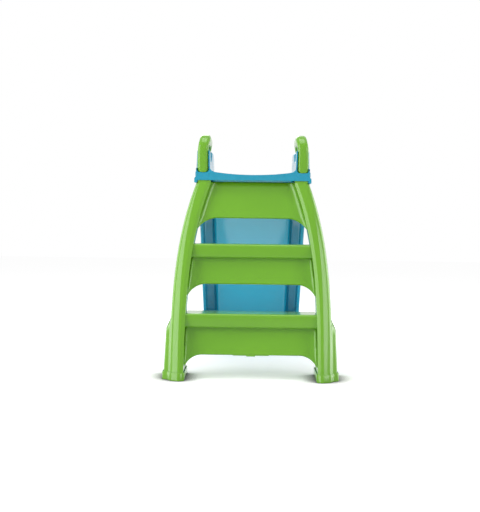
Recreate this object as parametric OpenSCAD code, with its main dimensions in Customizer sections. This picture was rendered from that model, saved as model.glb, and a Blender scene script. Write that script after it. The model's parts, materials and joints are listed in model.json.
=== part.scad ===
// Folding toddler slide: a moulded chute with two grip loops, and a two-step ladder that turns under it.
// Y runs from the ladder to the exit of the chute, Z is up, and the floor is Z = 0. Millimetres.

/* [Ladder] */
// Height of the top of each leg
leg_top_z = 548; // [540:0.5:552]
// How far the feet stand behind the platform's rear edge
foot_back = 174; // [160:1:185]
// Half of the ladder's width at its feet, over the leg columns
foot_half = 224.3; // [216:0.1:232]
// Rear face of a leg at its foot
leg_face = 41; // [36:1:44]
// Depth of a leg's channel, rear face to open front
leg_depth = 92; // [80:1:96]
// Wall of the moulded ladder parts
wall = 4; // [3:0.5:4.5]
// How far the toe of each boot reaches forward of the leg's channel
boot_reach = 80; // [60:1:95]
// How far each boot stands out beyond its leg column
boot_out = 13.4; // [8:0.1:16]
// Height of the top of the boot's shoulder
boot_top = 168; // [140:1:180]
// Height of the foot caps
cap_h = 22; // [14:1:26]

/* [Steps] */
// Height of the lower tread
lower_tread = 180; // [172:1:188]
// Height of the upper tread
upper_tread = 372.5; // [362:1:380]
// Depth of the upper tread from its nose to its front edge
tread_depth = 105; // [90:1:110]
// How much deeper the lower tread is than the upper one
lower_deeper = 13; // [0:1:16]
// Height of a step's nose
nose_h = 38.5; // [32:0.5:42]
// How far the riser is set back under the nose
riser_set = 32; // [22:1:40]
// From each tread down to its riser's bottom edge
riser_drop = 113.5; // [104:0.5:118]
// From the top of the legs down to the header's bottom edge
header_h = 103; // [92:1:108]
// Radius of the arches under the risers and the header
arch_r = 54; // [51:1:60]

/* [Chute] */
// Height of the platform
deck_z = 569.5; // [566:0.5:573]
// Rear edge of the platform
deck_rear = -315; // [-318:0.5:-313]
// Length of the level platform
deck_len = 110; // [100:1:120]
// Slope of the chute in degrees
slope = 43; // [40:0.5:45]
// Radius where the platform turns down into the slope
crest_r = 90; // [70:1:110]
// Radius where the slope turns out to the level exit
runout_r = 150; // [130:5:170]
// Height of the sliding face at the exit
exit_z = 42; // [38:1:46]
// Front edge of the exit
exit_y = 490; // [480:1:500]
// Wall of the chute
skin = 3.6; // [3.2:0.2:4.4]
// Half width to the middle of the chute's outer walls at the platform
outer_half = 161.2; // [160:0.1:164]
// Half width to the middle of the chute's inner walls
inner_half = 120.5; // [117:0.5:122]
// How far the bottom skirt steps out of the outer wall
skirt_out = 4.5; // [4:0.5:8]
// Height of the side rails above the sliding face
rail_h = 62; // [50:1:75]
// Height of the fins that carry the grip loops
fin_top = 644; // [636:1:646]

/* [Grip loops] */
// How high the loops rise above the fins
loop_rise = 42; // [38:1:50]
// Thickness of a loop's bar seen from the side
grip_thick = 25; // [22:0.5:26]
// From the rear leg's centre to the front leg's centre of a loop
loop_len = 168; // [150:1:172]

/* [Hinge and locks] */
// Hinge axis, forward of the platform's rear edge
hinge_fwd = 53; // [51:0.5:56]
// Hinge axis above the deck
hinge_up = 3; // [2:0.5:5]
// Radius of the hinge pins
pin_r = 6; // [5:0.25:7]
// Travel of a lock button when pressed
button_travel = 7; // [6:0.5:7]
// Radius of the lock buttons
button_r = 6; // [5:0.25:7]

/* [Hidden] */
$fn = 48;

green = [0.48, 0.70, 0.22];
blue = [0.10, 0.60, 0.76];
steel = [0.72, 0.73, 0.75];

gap = 0.3;                // between pieces that sit against each other
bow_power = 3.2;          // how late the bow comes in, going up a leg
face_grow = 1.5;          // how much wider a leg's rear face gets by its top
corner_foot = 20;         // outer corner of a leg at the floor
corner_top = 10;
bevel = 10;               // bevel along the inner edge of a leg's rear face
bevel_in = 7;
lip = 4;                  // flange along the open edges of a leg
ladder_rear = deck_rear - foot_back;
lean = foot_back + 1;     // the legs' tops start just under the platform's rear edge
leg_top_half = outer_half - 0.5;
cap_floor = 4;            // floor of a foot cap
boot_step = 24;           // the boot stands out behind a step in each leg's outer face
boot_end = 44;
nose_set = bevel_in;      // step noses sit at the bottom of the legs' bevel
header_set = 26;          // the header panel, forward of the legs' rear faces
shoulder_z = boot_top - 42;

hinge = [deck_rear + hinge_fwd, deck_z + hinge_up];
fold = 55;                // how far the ladder turns under the chute
chamfer_turn = fold + 5;  // the legs' top corners are cut to clear the skirt when folded
skirt_drop = 23;          // skirt's bottom edge below the deck
skirt_band = 12;          // height of the skirt's straight band
seat_z = deck_z + 6.5;    // ledge under each grip loop's rear leg
loop_top = fin_top + loop_rise;
tail_len = grip_thick + 1.5;   // from the rear edge to the fins
fin_rear = deck_rear + tail_len;
fascia_drop = 16;         // rear flange below the deck
deck_dish = 7.5;          // the deck is this much lower on its centreline
bore_slack = 0.05;
screw_r = 2;
screw_slack = 0.05;
clear_r = 2.6;

deck_front = deck_rear + deck_len;
crest_end = deck_front + crest_r * sin(slope);
crest_drop = crest_r * (1 - cos(slope));
runout_drop = runout_r * (1 - cos(slope));
slope_fall = deck_z - exit_z - crest_drop - runout_drop;
slope_end = crest_end + slope_fall / tan(slope);
runout_end = slope_end + runout_r * sin(slope);

function mix(a, b, t) = a + (b - a) * t;
function clamp01(t) = min(1, max(0, t));
function ease(a, b, x) = let(t = clamp01((x - a) / (b - a))) t * t * (3 - 2 * t);
function reverse(list) = [for (i = [len(list) - 1:-1:0]) list[i]];

// ---- Swept shells and solids ----

function normal2(path, i) =
    let(a = path[max(0, i - 1)], b = path[min(len(path) - 1, i + 1)], d = b - a, n = norm(d))
    [-d[1] / n, d[0] / n];
function offset_path(path, d) = [for (i = [0:len(path) - 1]) path[i] + d * normal2(path, i)];
function two_triangles(a, b, c, d) = [[a, b, c], [a, c, d]];

// A thin open sheet: outer[s][i] and inner[s][i] are its two faces at station s.
module sheet_loft(outer, inner) {
    n = len(outer[0]);
    last = len(outer) - 1;
    points = [for (s = [0:last]) each concat(outer[s], inner[s])];
    function at(s, i, side) = s * 2 * n + side * n + i;
    faces = concat(
        [for (s = [0:last - 1], i = [0:n - 2])
            each two_triangles(at(s, i, 0), at(s + 1, i, 0), at(s + 1, i + 1, 0), at(s, i + 1, 0))],
        [for (s = [0:last - 1], i = [0:n - 2])
            each two_triangles(at(s, i, 1), at(s, i + 1, 1), at(s + 1, i + 1, 1), at(s + 1, i, 1))],
        [for (s = [0:last - 1])
            each two_triangles(at(s, 0, 1), at(s + 1, 0, 1), at(s + 1, 0, 0), at(s, 0, 0))],
        [for (s = [0:last - 1])
            each two_triangles(at(s, n - 1, 0), at(s + 1, n - 1, 0), at(s + 1, n - 1, 1), at(s, n - 1, 1))],
        [for (i = [0:n - 2])
            each two_triangles(at(0, i, 0), at(0, i + 1, 0), at(0, i + 1, 1), at(0, i, 1))],
        [for (i = [0:n - 2])
            each two_triangles(at(last, i, 1), at(last, i + 1, 1), at(last, i + 1, 0), at(last, i, 0))]);
    polyhedron(points = points, faces = faces, convexity = 8);
}

// A solid bar: rings[s] is its closed outline at station s. Its ends are one convex face, or `parts` of one.
module bar_loft(rings, parts = []) {
    n = len(rings[0]);
    last = len(rings) - 1;
    ends = len(parts) > 0 ? parts : [[for (i = [0:n - 1]) i]];
    faces = concat(
        [for (s = [0:last - 1], i = [0:n - 1])
            each two_triangles(s * n + i, (s + 1) * n + i, (s + 1) * n + (i + 1) % n, s * n + (i + 1) % n)],
        ends,
        [for (e = ends) reverse([for (i = e) last * n + i])]);
    polyhedron(points = [for (ring = rings) each ring], faces = faces, convexity = 4);
}

// Points of an arc about c, from angle a to angle b, in k steps.
function arc(c, r, a, b, k) = [for (i = [0:k]) c + r * [cos(mix(a, b, i / k)), sin(mix(a, b, i / k))]];

module mirrored(side) {
    mirror([side < 0 ? 1 : 0, 0, 0]) children();
}

// ---- Chute ----

// Height of the sliding face's centreline.
function bed(y) =
    y <= deck_front ? deck_z
    : y <= crest_end ? deck_z - crest_r + sqrt(crest_r * crest_r - pow(y - deck_front, 2))
    : y <= slope_end ? deck_z - crest_drop - (y - crest_end) * tan(slope)
    : y <= runout_end ? exit_z + runout_r - sqrt(runout_r * runout_r - pow(runout_end - y, 2))
    : exit_z;
function bed_angle(y) =
    y <= deck_front ? 0
    : y <= crest_end ? asin((y - deck_front) / crest_r)
    : y <= slope_end ? slope
    : y <= runout_end ? asin((runout_end - y) / runout_r)
    : 0;

// Bottom edge of the skirt: level under the deck, along the slope, and down to the floor at the exit.
function skirt_z(y) = max(0, bed(y) - mix(skirt_drop, exit_z, ease(deck_front, slope_end, y)));

// Top of the fins and rails: a dip under each grip loop, then down to the rails.
dip_mid = fin_rear + 71;
dip_half = 62;
fin_front = fin_rear + 176;
function dip(y) = 28 * (1 - ease(dip_half * 0.35, dip_half, abs(y - dip_mid)));
function rail_top(y) = mix(fin_top - dip(y), bed(y) + rail_h * (1 - 0.25 * ease(slope_end, exit_y, y)),
    ease(fin_front, fin_front + 150, y));

rail_corner = 7;
foot_fillet = 15;
tail_foot = inner_half + 4;   // inner walls at the platform, at their foot and top
tail_top = inner_half + 5;
fin_lean = 2;                 // the fins' outer walls lean in by this much
function outer_x(y) = outer_half - 6 * ease(deck_front, 0, y);
function inner_foot(y) = mix(tail_foot, inner_half - 3, ease(deck_front - 40, deck_front + 120, y));
function inner_top(y) = mix(tail_top, inner_half + 1, ease(deck_front - 40, deck_front + 120, y));

// Half of the chute's section at y, from the skirt's bottom edge to the middle of the bed.
function chute_half(y) =
    let(ox = outer_x(y), z0 = skirt_z(y), zt = rail_top(y) - skin / 2,
        zb = bed(y) - skin / 2 / cos(bed_angle(y)), top = inner_top(y), foot = inner_foot(y),
        dish = deck_dish, over = ox - mix(fin_lean, 0, ease(fin_front, fin_front + 150, y)))
    concat(
        [[ox + skirt_out, z0], [ox + skirt_out, z0 + skirt_band], [ox, z0 + skirt_band + 5]],
        arc([over - rail_corner, zt - rail_corner], rail_corner, 0, 90, 3),
        arc([top + rail_corner, zt - rail_corner], rail_corner, 90, 180, 3),
        arc([foot - foot_fillet, zb + dish + foot_fillet], foot_fillet, 0, -90, 4),
        [[foot * 0.6, zb + dish * 0.42], [foot * 0.3, zb + dish * 0.1], [0, zb]]);

function whole(half) = concat(half, [for (i = [len(half) - 2:-1:0]) [-half[i][0], half[i][1]]]);

// The bed's skin is laid off square to the slope, so its vertical thickness grows with it.
function chute_sheet(y, side) =
    let(path = whole(chute_half(y)), off = offset_path(path, side * skin / 2), tilt = 1 / cos(bed_angle(y)))
    [for (i = [0:len(path) - 1])
        let(d = off[i] - path[i], t = abs(path[i][0]) < inner_half - 8 ? tilt : 1)
        [path[i][0] + d[0], y, max(0, path[i][1] + d[1] * t)]];

chute_stations = concat(
    [for (i = [0:9]) mix(fin_rear, fin_front - 26, i / 9)],
    [fin_front, fin_front + 15, fin_front + 30, fin_front + 45, fin_front + 60, fin_front + 76,
        fin_front + 92, fin_front + 108, fin_front + 124],
    [for (i = [1:3]) mix(fin_front + 124, slope_end, i / 3)],
    [for (i = [1:7]) mix(slope_end, runout_end, i / 7)],
    [exit_y - 6]);

// Section of the platform behind the fins: the deck, its fillets and the inner walls beside the loops.
module tail_section() {
    zb = deck_z - skin / 2;
    foot = tail_foot;
    for (side = [-1, 1]) mirror([side < 0 ? 1 : 0, 0]) {
        path = concat([[0, zb], [foot * 0.3, zb + deck_dish * 0.1], [foot * 0.6, zb + deck_dish * 0.42]],
            arc([foot - foot_fillet, zb + deck_dish + foot_fillet], foot_fillet, -90, 0, 4),
            [[tail_top, fin_top - 6]]);
        polygon(concat(offset_path(path, skin / 2), reverse(offset_path(path, -skin / 2))));
        seat = concat([[tail_foot, seat_z + 14]],
            arc([tail_foot + 8, seat_z + 8 - skin / 2], 8, 180, 270, 4),
            arc([outer_half - 8, seat_z + 8 - skin / 2], 8, 270, 360, 4),
            [[outer_half, seat_z + 12]]);
        polygon(concat(offset_path(seat, skin / 2), reverse(offset_path(seat, -skin / 2))));
        z0 = deck_z - skirt_drop;
        edge = [[outer_half, seat_z + 8], [outer_half, z0 + skirt_band + 5],
            [outer_half + skirt_out, z0 + skirt_band], [outer_half + skirt_out, z0]];
        polygon(concat(offset_path(edge, skin / 2), reverse(offset_path(edge, -skin / 2))));
    }
}

// The space above the middle of the deck's skin.
module trough_outline() {
    zb = deck_z - skin / 2;
    foot = tail_foot;
    polygon(concat([[0, zb], [foot * 0.3, zb + deck_dish * 0.1], [foot * 0.6, zb + deck_dish * 0.42]],
        arc([foot - foot_fillet, zb + deck_dish + foot_fillet], foot_fillet, -90, 0, 4),
        [[tail_top, fin_top], [0, fin_top]]));
}

// The rear flange's outline: it closes the deck and the hollows under the loops from behind.
module fascia_section() {
    zb = deck_z;
    foot = tail_foot;
    low = deck_z - fascia_drop;
    z0 = deck_z - skirt_drop;
    half = concat([[0, zb], [foot * 0.3, zb + deck_dish * 0.1], [foot * 0.6, zb + deck_dish * 0.42]],
        arc([foot - foot_fillet, zb + deck_dish + foot_fillet], foot_fillet - 1, -90, 0, 4),
        [[tail_foot + 1, seat_z + 9], [tail_foot + 4, seat_z + 2], [tail_foot + 9, seat_z - 1],
            [outer_half - 9, seat_z - 1], [outer_half - 3.2, seat_z + 2], [outer_half - 1.8, seat_z + 5],
            [outer_half, seat_z + 9], [outer_half + skin / 2, z0 + skirt_band + 5],
            [outer_half + skirt_out + skin / 2, z0 + skirt_band], [outer_half + skirt_out + skin / 2, z0],
            [outer_half - skin / 2, z0], [outer_half - skin / 2 - 0.2, low]]);
    polygon(concat(half, [for (i = [len(half) - 1:-1:1]) [-half[i][0], half[i][1]]]));
}

module along_y(y, length) {
    translate([0, y + length, 0]) rotate([90, 0, 0]) linear_extrude(length) children();
}

// A cylinder along X between two distances from the middle.
module x_cylinder(r, x0, x1, at) {
    translate([x0, at[0], at[1]]) rotate([0, 90, 0]) cylinder(r = r, h = x1 - x0);
}

lock = hinge + [32, 2];
hub_in = inner_half + 10;     // ends of the ladder's hub between the chute's walls
hub_out = outer_half - 5;
pin_tip = inner_half + 4;
pin_head_r = 9;

module chute() color(blue) difference() {
    union() {
        sheet_loft([for (y = chute_stations) chute_sheet(y, 1)], [for (y = chute_stations) chute_sheet(y, -1)]);
        along_y(deck_rear, tail_len + 1) tail_section();
        along_y(deck_rear, skin) fascia_section();
        exit_edge();
        for (side = [-1, 1]) mirrored(side) {
            difference() {
                x_cylinder(12, tail_foot - 18, hub_in - gap, hinge);
                along_y(hinge[0] - 15, 30) trough_outline();
            }
            x_cylinder(12, hub_out + gap, outer_half, hinge);
        }
    }
    for (side = [-1, 1]) mirrored(side) {
        x_cylinder(pin_r + 0.02, pin_tip, outer_half + 20, hinge);
        x_cylinder(button_r + 0.4, outer_half - 10, outer_half + 20, lock);
        for (at = loop_screw_places) translate([at[0], at[1], at[2] - 12]) cylinder(r = clear_r, h = 24);
    }
}

// The exit's front edge turns down to the floor and closes the rails' ends.
module exit_edge() {
    half = outer_x(exit_y) - 8;
    along_y(exit_y - 6, 6) difference() {
        polygon([for (p = offset_path(whole(chute_half(exit_y - 6)), -skin / 2)) [p[0], max(0, p[1])]]);
        translate([-half, -1]) square([2 * half, 9]);
    }
}

// ---- Grip loops ----

grip_y = deck_rear + grip_thick / 2;                // centre of the rear leg
loop_bend = 34;
loop_mid_z = loop_top - grip_thick / 2;
loop_dip = 2;                                       // the bar falls by this much towards its front leg
front_bend = loop_mid_z - loop_dip - fin_top - gap - 1.5;
grip_play = 0.4;                                    // between the bar and the collar it sits in
grip_mid = (tail_top + outer_half) / 2;
grip_half = (outer_half - tail_top - skin) / 2 - grip_play;
grip_lean = 6.6;                                    // the loops lean towards each other at the top
function grip_x(z) = grip_mid - grip_lean * ease(fin_top - 8, loop_top, z);
// The bar's foot is rounded to sit in the collar.
foot_round = 6.2;
function grip_w(z) = grip_half - 5 * pow(max(0, 1 - (z - seat_z) / foot_round), 2);
// Stations of the loop: [y, z, heading].
loop_path = concat(
    [for (h = [gap, 1.5, 3.5, foot_round]) [grip_y, seat_z + h, 90]],
    [[grip_y, mix(seat_z, loop_mid_z - loop_bend, 0.5), 90]],
    [for (i = [0:6]) let(a = 180 - i * 90 / 6)
        [grip_y + loop_bend + loop_bend * cos(a), loop_mid_z - loop_bend + loop_bend * sin(a), a - 90]],
    [for (i = [0:6]) let(a = 90 - i * 90 / 6)
        [grip_y + loop_len - front_bend + front_bend * cos(a),
            loop_mid_z - loop_dip - front_bend + front_bend * sin(a), a - 90]],
    [[grip_y + loop_len, fin_top + gap, -90]]);
function rounded_rect(w, h, r, k) = concat(
    arc([w - r, h - r], r, 0, 90, k), arc([r - w, h - r], r, 90, 180, k),
    arc([r - w, r - h], r, 180, 270, k), arc([w - r, r - h], r, 270, 360, k));
loop_screw_places = [[grip_x(seat_z), grip_y, seat_z], [grip_x(fin_top), grip_y + loop_len, fin_top]];
screw_bite = 18;

module grip_loop(side) color(green) mirrored(side) difference() {
    bar_loft([for (p = loop_path)
        let(c = [p[0], p[1]], across = [-sin(p[2]), cos(p[2])],
            outline = rounded_rect(grip_w(p[1]), grip_thick / 2, 10, 4))
        [for (q = outline) [grip_x(p[1]) + q[0], c[0] + across[0] * q[1], c[1] + across[1] * q[1]]]]);
    for (at = loop_screw_places) translate([at[0], at[1], at[2] - 1]) cylinder(r = screw_r + screw_slack, h = 24);
}

module screw_up(at, under) {
    translate([at[0], at[1], at[2] - under]) {
        cylinder(r = screw_r, h = under + screw_bite);
        translate([0, 0, -3]) difference() {
            cylinder(r1 = 3, r2 = 4.5, h = 3);
            translate([-0.6, -3, -1]) cube([1.2, 6, 2]);
            translate([-3, -0.6, -1]) cube([6, 1.2, 2]);
        }
    }
}

module loop_screws(side) color(steel) mirrored(side)
    for (at = loop_screw_places) screw_up(at, skin + gap);

// ---- Hinge pins and locks ----

module hinge_pin(side) color(blue) mirrored(side) {
    x_cylinder(pin_r, pin_tip + gap, outer_half + skin / 2 + 1, hinge);
    difference() {
        translate([outer_half + skin / 2 + gap, hinge[0], hinge[1]]) rotate([0, 90, 0])
            cylinder(r1 = pin_head_r, r2 = pin_head_r - 2, h = 3.6);
        x_cylinder(4, outer_half + skin / 2 + 2.8, outer_half + 10, hinge);
    }
}

button_flange = outer_half - skin / 2 - fin_lean / 2 - gap;
ear_wide = 12;
ear_in = (tail_top + outer_half) / 2 - 11;
ear_out = ear_in + ear_wide;

module lock_button(side) color(green) mirrored(side) {
    difference() {
        x_cylinder(button_r, button_flange, outer_half + skin / 2 + 2, lock);
        translate([outer_half + skin / 2 + 15, lock[0], lock[1]]) sphere(r = 14);
    }
    x_cylinder(button_r + 3, button_flange - 2, button_flange, lock);
    x_cylinder(4, ear_in + 4, button_flange - 1, lock);
}

// Compression spring around the button's stem, between the ear and the button's flange.
spring_turns = 3;
spring_r = 5.6;
wire_r = 0.45;
module lock_spring(side) color(steel) mirrored(side) {
    x0 = ear_out + wire_r + 0.1;
    x1 = button_flange - 2 - wire_r - 0.1;
    bar_loft([for (i = [0:12 * spring_turns])
        let(a = i * 30, x = mix(x0, x1, i / (12 * spring_turns)))
        [for (k = [0:7]) let(b = -k * 45, r = spring_r + wire_r * cos(b))
            [x + wire_r * sin(b), lock[0] + r * cos(a), lock[1] + r * sin(a)]]]);
}

// ---- Ladder legs ----

function rear_y(z) = ladder_rear + lean * z / leg_top_z;
function leg_out(z) = mix(foot_half, leg_top_half, pow(clamp01(z / leg_top_z), bow_power));
function corner_r(z) = mix(corner_foot, corner_top, clamp01(z / leg_top_z));
foot_lip = 1.5;           // the flange is narrower at the foot and under the skirt
function lip_at(z) = mix(foot_lip, lip, ease(20, 80, z)) - (lip - foot_lip) * ease(leg_top_z - 60, leg_top_z - 20, z);
function leg_in(z) = leg_out(z) - leg_face - face_grow * pow(clamp01(z / leg_top_z), 3);
function boot(z) = 1 - ease(shoulder_z, boot_top, z);
function boot_x(z) = boot_out * boot(z) + 2 * (1 - ease(0, shoulder_z, z));
// Depth of the channel: cut back at the top to clear the skirt, and long at the floor for the boot.
top_depth = hinge[0] - rear_y(leg_top_z) - (hinge[1] - leg_top_z + 1.2) * tan(chamfer_turn / 2);
chamfer_rate = 1 / tan(chamfer_turn) + lean / leg_top_z;
function leg_reach(z) =
    min(leg_depth + boot_reach * pow(clamp01(1 - z / (boot_top + 10)), 1.3),
        top_depth + chamfer_rate * (leg_top_z - z));

// A leg's section at height z, from the inner wall's front edge round the rear to the outer flange.
function leg_section(z, d) =
    let(xi = leg_in(z), xo = leg_out(z), b = boot_x(z), reach = leg_reach(z), y0 = rear_y(z),
        r = corner_r(z), l = lip_at(z), step = min(reach * 0.55, boot_step), step_end = min(reach * 0.72, boot_end))
    [for (p = concat(
        [[xi + 1 + d, reach], [xi + d, bevel_in + 1 + d * 0.6], [xi + bevel + d * 0.4, d]],
        arc([xo - r, r], r - d, 270, 360, 6),
        [[xo - d, step + d], [xo + b - d, step_end + d], [xo + b - d, reach - l - d * 0.25],
            [xo + b + mix(l - 1, 1 - wall, d / wall), reach - mix(l, 0, d / wall)],
            [xo + b + l, reach - mix(l - 1, 0, d / wall)]]))
        [p[0], y0 + p[1], z]];

leg_stations = concat([cap_floor + gap, 12, 30, 60, 90, shoulder_z - 8, shoulder_z + 4, shoulder_z + 14,
    shoulder_z + 24, shoulder_z + 34, boot_top + 4], [for (i = [1:16]) mix(boot_top + 4, leg_top_z, i / 16)]);

// The ear that carries the hub and the lock, inside the chute's hollow side wall.
module ear() {
    x_cylinder(17, ear_in, ear_out, hinge);
    x_cylinder(12, ear_in, ear_out, lock);
    low = leg_top_z - 34;
    x_extrude(ear_in, ear_out) polygon([hinge + [-15, 7], hinge + [2, 16.5], lock + [1, 11.6], lock + [2, -11.4],
        hinge + [14, -13], [rear_y(low) + 58, low], [rear_y(low) + wall - 1, low],
        [rear_y(leg_top_z) + wall - 1, leg_top_z - 1]]);
}

module x_extrude(x0, x1) {
    translate([x0, 0, 0]) rotate([90, 0, 90]) linear_extrude(x1 - x0) children();
}

// Where each step and the header are screwed to the leg: [y, z].
function step_screw_places(tread) = [
    [rear_y(tread) + nose_set + 18, tread - nose_h / 2],
    [rear_y(tread) + nose_set + riser_set + 16, tread - nose_h - 26]];
header_screw_places = [
    for (part = [0.45, 0.8]) let(z = leg_top_z - header_h * part) [rear_y(z) + header_set + 12, z]];
screw_places = concat(step_screw_places(lower_tread), step_screw_places(upper_tread), header_screw_places);
pad_h = 7;

module leg(side) color(green) mirrored(side) difference() {
    union() {
        sheet_loft([for (z = leg_stations) leg_section(z, 0)], [for (z = leg_stations) leg_section(z, wall)]);
        translate([0, 0, leg_top_z - wall - 0.5]) linear_extrude(wall)
            polygon([for (p = leg_section(leg_top_z - wall / 2, wall / 2)) [p[0], p[1]]]);
        ear();
        x_cylinder(15, hub_in, hub_out, hinge);
        for (part = [0.165, 0.43, 0.61, 0.77]) leg_rib(leg_top_z * part);
        for (at = screw_places) x_cylinder(6, leg_in(at[1]) + 2.3, leg_in(at[1]) + pad_h, at);
    }
    x_cylinder(pin_r + bore_slack, 0, 400, hinge);
    x_cylinder(4 + 0.1, 0, 400, lock);
    for (at = screw_places) x_cylinder(clear_r, leg_in(at[1]) - 5, leg_in(at[1]) + 30, at);
}

// A cross rib in a leg's channel.
module leg_rib(z) {
    s = leg_section(z, wall / 2);
    last = len(s) - 1;
    translate([0, 0, z - 1.5]) linear_extrude(3)
        polygon(concat([[mix(s[0][0], s[1][0], 0.3), mix(s[0][1], s[1][1], 0.3)]],
            [for (i = [1:last - 3]) [s[i][0], s[i][1]]],
            [[s[last - 2][0], mix(s[last - 3][1], s[last - 2][1], 0.6)]]));
}

// A cup under each foot, a little proud of the leg and leaning with it.
cap_grow = 2.6;
function cap_ring(z, grow, cut) =
    let(xi = leg_in(z) - grow, xo = leg_out(z), wide = xo + boot_x(z) + lip_at(z) + grow, reach = leg_reach(z) + grow,
        r = corner_r(z))
    [for (p = concat(
        [[xi + cut, reach], [xi, reach - cut], [xi, boot_step], [xi, bevel_in + 1 - grow * 0.35],
            [xi + bevel + grow * 0.6, -grow]],
        arc([xo - r, r], r + grow, 270, 360, 6),
        [[xo + grow, boot_step], [wide, boot_end], [wide, reach - cut], [wide - cut, reach]]))
        [p[0], rear_y(z) + p[1], z]];

cap_parts = [[for (i = [2:12]) i], [12, 13, 14, 15, 0, 1, 2]];   // behind and ahead of the boot's step

module foot_cap(side) color(green) mirrored(side) difference() {
    bar_loft([for (at = [[0, 1.4], [1.4, 0], [cap_h - 1.2, 0], [cap_h, 0.8]])
        cap_ring(at[0], cap_grow - at[1], 2.2)], cap_parts);
    bar_loft([for (z = [cap_floor, 12, cap_h + 1]) cap_ring(z, gap + 0.05, 0.4)], cap_parts);
}

// ---- Steps and header ----

// Across a step, s runs from -1 to 1 between the legs, and each point follows their inner faces.
end_gap = 0.4;            // between a step's ends and the legs
function across(s, z) = s * (leg_in(z) - end_gap);
side_fillet = 28;         // the risers and the header sweep out to meet the legs
riser_end = 23;           // where they meet them, forward of the noses and of the legs' rear faces
header_end = 11;
arch_in = 49;             // where the arches start, in from the legs
function swept(e, deep) = e >= side_fillet ? 0
    : deep * (1 - sqrt(1 - pow(1 - e / side_fillet, 2)));
function arch_z(bottom, s) =
    let(e = (1 - abs(s)) * leg_in(bottom), over = max(0, arch_in - e))
    bottom - arch_r + sqrt(arch_r * arch_r - over * over);
edge_steps = [arch_in, 40, 32, 25, 18, 11, 5, 1.5, 0];
function half_stations(z) = concat([0, 0.42], [for (e = edge_steps) 1 - e / leg_in(z)]);
function stations(z) = let(h = half_stations(z)) concat([for (i = [len(h) - 1:-1:1]) -h[i]], h);

module panel(z, profile_list, ss) {
    sheet_loft(
        [for (k = [0:len(ss) - 1]) [for (p = offset_path(profile_list[k], -wall / 2))
            [across(ss[k], p[1]), p[0], p[1]]]],
        [for (k = [0:len(ss) - 1]) [for (p = offset_path(profile_list[k], wall / 2))
            [across(ss[k], p[1]), p[0], p[1]]]]);
}

// Side profile of a step at s: tread, round nose, the ledge under it, the riser and its rolled foot.
function step_profile(tread, depth, s) =
    let(y = rear_y(tread) + nose_set + wall / 2, top = tread - wall / 2, low = tread - nose_h + wall / 2,
        back = y + depth - wall, foot = arch_z(tread - riser_drop, s),
        e = (1 - abs(s)) * leg_in(tread - riser_drop), out = riser_set - swept(e, riser_set - riser_end))
    concat([[back, top - 16], [back, top - 3], [back - 3, top]],
        arc([y + 6, top - 6], 6, 90, 180, 3),
        arc([y + 3, low + 3], 3, 180, 270, 2),
        [[rear_y(low) + nose_set + out - 4, low], [rear_y(low - 4) + nose_set + out, low - 4],
            [rear_y(mix(low, foot, 0.5)) + nose_set + out, mix(low, foot, 0.5)],
            [rear_y(foot) + nose_set + out, foot + 4], [rear_y(foot) + nose_set + out + 2, foot + 2],
            [rear_y(foot) + nose_set + out + 12, foot + 2]]);

// Front outline between the legs, from height z0 to z1, in X and Z, and set in by `inset`.
module between_legs(z0, z1, inset) {
    zs = [for (i = [0:6]) mix(z0, z1, i / 6)];
    polygon(concat([for (z = zs) [leg_in(z) - gap - inset, z]],
        [for (z = reverse(zs)) [inset + gap - leg_in(z), z]]));
}

// A plate across each end of a moulding, seen from the side as `children`.
module end_plates(z0, z1) {
    intersection() {
        x_extrude(-foot_half, foot_half) children();
        along_y(ladder_rear - 40, 600) difference() {
            between_legs(z0, z1, 0.8);
            between_legs(z0 - 1, z1 + 1, 4.4);
        }
    }
}

module screw_posts(places) {
    for (side = [-1, 1], at = places) mirrored(side) x_cylinder(5.5, leg_in(at[1]) - 26, leg_in(at[1]) - 2.5, at);
}

module screw_holes(places) {
    for (side = [-1, 1], at = places) mirrored(side)
        x_cylinder(screw_r + screw_slack, leg_in(at[1]) - 24, leg_in(at[1]) + 9, at);
}

module step(tread, depth) {
    ss = stations(tread - riser_drop);
    y = rear_y(tread) + nose_set;
    y2 = rear_y(tread - 88) + nose_set + riser_set - wall / 2;
    difference() {
        union() {
            panel(tread, [for (s = ss) step_profile(tread, depth, s)], ss);
            end_plates(tread - 88, tread) polygon([[y + 3, tread - 3], [y + 3, tread - nose_h + 3],
                [y + 12, tread - nose_h + 3], [y2 - 16, tread - 88], [y2 + 20, tread - 88],
                [y + depth - 3, tread - 18], [y + depth - 3, tread - 3]]);
            screw_posts(step_screw_places(tread));
        }
        screw_holes(step_screw_places(tread));
    }
}

// Finger tab in the middle of the lower riser's bottom edge.
module pull_tab(tread) {
    bottom = tread - riser_drop;
    y = rear_y(bottom) + nose_set + riser_set;
    tab_w = 25;
    rail_w = 100;
    translate([-tab_w / 2, y - 0.5, bottom - 3.6]) cube([tab_w, 12, 6]);
    translate([-rail_w / 2, y + 0.5, bottom - 1.4]) cube([rail_w, 9, 3]);
}

module upper_step() color(green) step(upper_tread, tread_depth);
module lower_step() color(green) union() {
    step(lower_tread, tread_depth + lower_deeper);
    pull_tab(lower_tread);
}

header_top = deck_z - fascia_drop - 3;
function header_profile(s) =
    let(foot = arch_z(leg_top_z - header_h, s), e = (1 - abs(s)) * leg_in(leg_top_z - header_h),
        out = header_set - swept(e, header_set - header_end), top = header_top - wall / 2)
    [[rear_y(top) + out + 16, top - 6], [rear_y(top) + out + 13, top], [rear_y(top) + out + 4, top],
        [rear_y(top - 4) + out, top - 4], [rear_y(mix(top, foot, 0.5)) + out, mix(top, foot, 0.5)],
        [rear_y(foot) + out, foot + 4], [rear_y(foot) + out + 2, foot + 2], [rear_y(foot) + out + 12, foot + 2]];

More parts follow.
